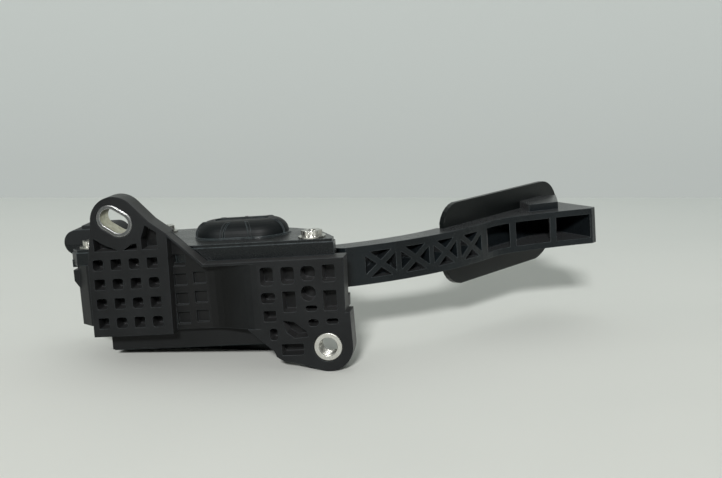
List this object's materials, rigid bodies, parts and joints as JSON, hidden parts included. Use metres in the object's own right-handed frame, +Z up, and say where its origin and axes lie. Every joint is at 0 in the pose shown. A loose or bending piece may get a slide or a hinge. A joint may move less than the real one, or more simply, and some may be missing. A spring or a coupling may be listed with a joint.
{
  "type": "accelerator pedal",
  "caption": "Sprung accelerator pedal on a moulded mounting housing with a contactless sensor under a ribbed dome.",
  "frame": {"origin": "mouth centre of the round steel sleeve in the lower lug, on the mounting face", "axes": "the module lies on its side as on a table: +Z up, +X towards the pad, +Y away from the mounting face; the hinge axis leans 4.2 degrees from +Z about Y because the module rests on its lower lug and its belly"},
  "size_m": [0.2866, 0.1787, 0.0865],
  "materials": {
    "housing_plastic": "moulded glass-filled plastic, fine grain, slight sheen",
    "cover_plastic": "moulded plastic, smooth satin",
    "arm_plastic": "moulded glass-filled plastic, satin",
    "pad_plastic": "moulded plastic, matte",
    "zinc_steel": "zinc-plated steel",
    "pin_steel": "ground steel",
    "spring_steel": "drawn spring wire",
    "terminal_brass": "plated terminals",
    "board_green": "circuit board",
    "chip_black": "moulded chip",
    "bush_plastic": "bearing plastic",
    "stop_rubber": "rubber",
    "magnet_grey": "plated magnet"
  },
  "bodies": {
    "housing": {"mount_housing": "housing_plastic", "upper_slot_sleeve": "zinc_steel", "lower_round_sleeve": "zinc_steel", "lower_cover": "housing_plastic", "lower_cover_screws": "zinc_steel", "sensor_cover": "cover_plastic", "cover_screw_front": "zinc_steel", "cover_screw_left": "zinc_steel", "cover_screw_rear": "zinc_steel", "cover_screw_middle": "zinc_steel", "connector_shell": "cover_plastic", "terminal_leads": "terminal_brass", "sensor_board": "board_green", "hall_chips": "chip_black", "pivot_pin": "pin_steel", "thrust_washer": "bush_plastic", "idle_stop_pad": "stop_rubber", "full_stop_pad": "stop_rubber", "spring_seat": "arm_plastic", "outer_return_spring": "spring_steel", "inner_return_spring": "spring_steel"},
    "pedal": {"pedal_arm": "arm_plastic", "pedal_pad": "pad_plastic", "upper_bush": "bush_plastic", "lower_bush": "bush_plastic", "magnet_rotor": "arm_plastic", "rotor_magnets": "magnet_grey", "spring_cup": "arm_plastic"}
  },
  "joints": [
    {"name": "pedal_swing", "type": "hinge", "parent": "housing", "child": "pedal", "pos_m": [-0.04988, 0.04, 0.03073], "axis": [0.0732, 0, -0.9973], "range_deg": [0, 13], "stiffness_Nm_per_rad": 4, "springref_deg": -20.05, "deforming": ["outer_return_spring", "inner_return_spring"]}
  ]
}
